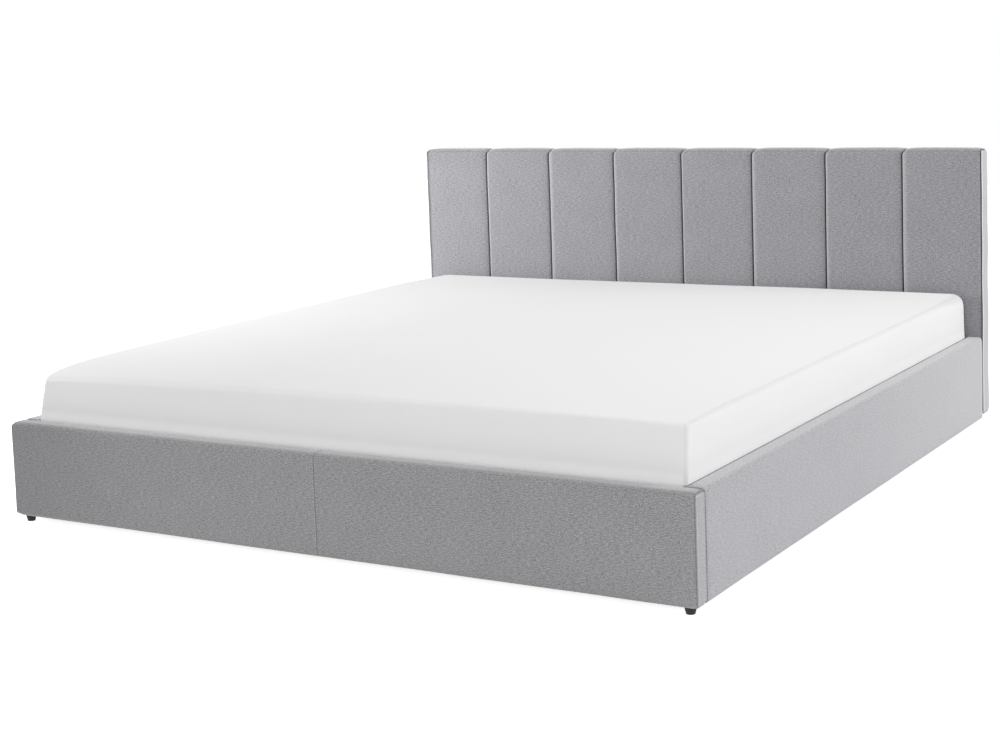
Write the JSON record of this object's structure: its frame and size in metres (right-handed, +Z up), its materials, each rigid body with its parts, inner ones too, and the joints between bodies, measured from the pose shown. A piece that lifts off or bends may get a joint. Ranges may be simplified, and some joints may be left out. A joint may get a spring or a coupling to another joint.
{
  "type": "ottoman bed",
  "caption": "Low upholstered double bed with a channelled headboard and a gas-lifted slatted base that opens a storage box under the mattress.",
  "frame": {"origin": "on the ground, at the middle of the bed's outline", "axes": "+X to the right seen from the foot end, +Y from the footboard to the headboard, +Z up"},
  "size_m": [1.948, 2.131, 0.831],
  "materials": {
    "grey_weave": "fine grey melange weave",
    "white_cover": "smooth white mattress cover",
    "painted_steel": "dark grey powder coat, satin",
    "zinc_steel": "bright zinc plate",
    "birch": "clear lacquered birch layers",
    "floor_board": "grey faced hardboard",
    "black_plastic": "moulded, fine satin",
    "black_webbing": "woven webbing"
  },
  "bodies": {
    "bed_frame": {"footboard": "grey_weave", "side_rail_left": "grey_weave", "side_rail_right": "grey_weave", "headboard_board": "grey_weave", "headboard_pad": "grey_weave", "foot_front_left": "black_plastic", "foot_front_right": "black_plastic", "foot_rear_left": "black_plastic", "foot_rear_right": "black_plastic", "floor_panel_left": "floor_board", "floor_panel_right": "floor_board", "floor_beam": "birch", "corner_bracket_foot_left": "painted_steel", "corner_bracket_foot_right": "painted_steel", "corner_bracket_head_left": "painted_steel", "corner_bracket_head_right": "painted_steel", "hinge_plate_left": "painted_steel", "hinge_plate_right": "painted_steel"},
    "rear_link_left": {"rear_link_left": "zinc_steel"},
    "lifting_base": {"frame_tube_left": "painted_steel", "frame_tube_right": "painted_steel", "frame_tube_head": "painted_steel", "frame_tube_foot": "painted_steel", "frame_tube_centre": "painted_steel", "lift_bracket_left": "painted_steel", "lift_bracket_right": "painted_steel", "slat_left_01": "birch", "slat_right_01": "birch", "slat_left_02": "birch", "slat_right_02": "birch", "slat_left_03": "birch", "slat_right_03": "birch", "slat_left_04": "birch", "slat_right_04": "birch", "slat_left_05": "birch", "slat_right_05": "birch", "slat_left_06": "birch", "slat_right_06": "birch", "slat_left_07": "birch", "slat_right_07": "birch", "slat_left_08": "birch", "slat_right_08": "birch", "slat_left_09": "birch", "slat_right_09": "birch", "slat_left_10": "birch", "slat_right_10": "birch", "slat_left_11": "birch", "slat_right_11": "birch", "slat_left_12": "birch", "slat_right_12": "birch", "mattress_bar": "painted_steel", "pull_strap": "black_webbing", "mattress": "white_cover"},
    "rear_link_right": {"rear_link_right": "zinc_steel"},
    "front_link_left": {"front_link_left": "zinc_steel"},
    "spring_cylinder_left": {"gas_spring_cylinder_left": "painted_steel"},
    "spring_rod_left": {"gas_spring_rod_left": "zinc_steel"},
    "front_link_right": {"front_link_right": "zinc_steel"},
    "spring_cylinder_right": {"gas_spring_cylinder_right": "painted_steel"},
    "spring_rod_right": {"gas_spring_rod_right": "zinc_steel"}
  },
  "joints": [
    {"name": "rear_link_left_pivot", "type": "hinge", "parent": "bed_frame", "child": "rear_link_left", "pos_m": [0, 0.4205, 0.145], "axis": [1, 0, 0], "range_deg": [0, 43.12]},
    {"name": "base_lift", "type": "hinge", "parent": "rear_link_left", "child": "lifting_base", "pos_m": [0, 0.5935, 0.188], "axis": [-1, 0, 0], "range_deg": [0, 78.11]},
    {"name": "rear_link_right_pivot", "type": "hinge", "parent": "bed_frame", "child": "rear_link_right", "pos_m": [0, 0.4205, 0.145], "axis": [1, 0, 0], "range_deg": [0, 43.12]},
    {"name": "front_link_left_pivot", "type": "hinge", "parent": "bed_frame", "child": "front_link_left", "pos_m": [0, -0.0815, 0.062], "axis": [1, 0, 0], "range_deg": [0, 21.47]},
    {"name": "gas_spring_left_pivot", "type": "hinge", "parent": "bed_frame", "child": "spring_cylinder_left", "pos_m": [0, 0.5985, 0.055], "axis": [-1, 0, 0], "range_deg": [0, 11.8]},
    {"name": "gas_spring_left_stroke", "type": "slide", "parent": "spring_cylinder_left", "child": "spring_rod_left", "axis": [0, -0.9564, 0.2921], "range_m": [0, 0.1003]},
    {"name": "front_link_right_pivot", "type": "hinge", "parent": "bed_frame", "child": "front_link_right", "pos_m": [0, -0.0815, 0.062], "axis": [1, 0, 0], "range_deg": [0, 21.47]},
    {"name": "gas_spring_right_pivot", "type": "hinge", "parent": "bed_frame", "child": "spring_cylinder_right", "pos_m": [0, 0.5985, 0.055], "axis": [-1, 0, 0], "range_deg": [0, 11.8]},
    {"name": "gas_spring_right_stroke", "type": "slide", "parent": "spring_cylinder_right", "child": "spring_rod_right", "axis": [0, -0.9564, 0.2921], "range_m": [0, 0.1003]}
  ],
  "couplings": [
    {"joint": "rear_link_left_pivot", "follows": "base_lift", "ratio": 0.55193},
    {"joint": "rear_link_right_pivot", "follows": "base_lift", "ratio": 0.55193},
    {"joint": "front_link_left_pivot", "follows": "base_lift", "ratio": 0.27467},
    {"joint": "gas_spring_left_pivot", "follows": "base_lift", "ratio": 0.15088},
    {"joint": "gas_spring_left_stroke", "follows": "base_lift", "m_per_rad": 0.073497},
    {"joint": "front_link_right_pivot", "follows": "base_lift", "ratio": 0.27467},
    {"joint": "gas_spring_right_pivot", "follows": "base_lift", "ratio": 0.15088},
    {"joint": "gas_spring_right_stroke", "follows": "base_lift", "m_per_rad": 0.073497}
  ]
}
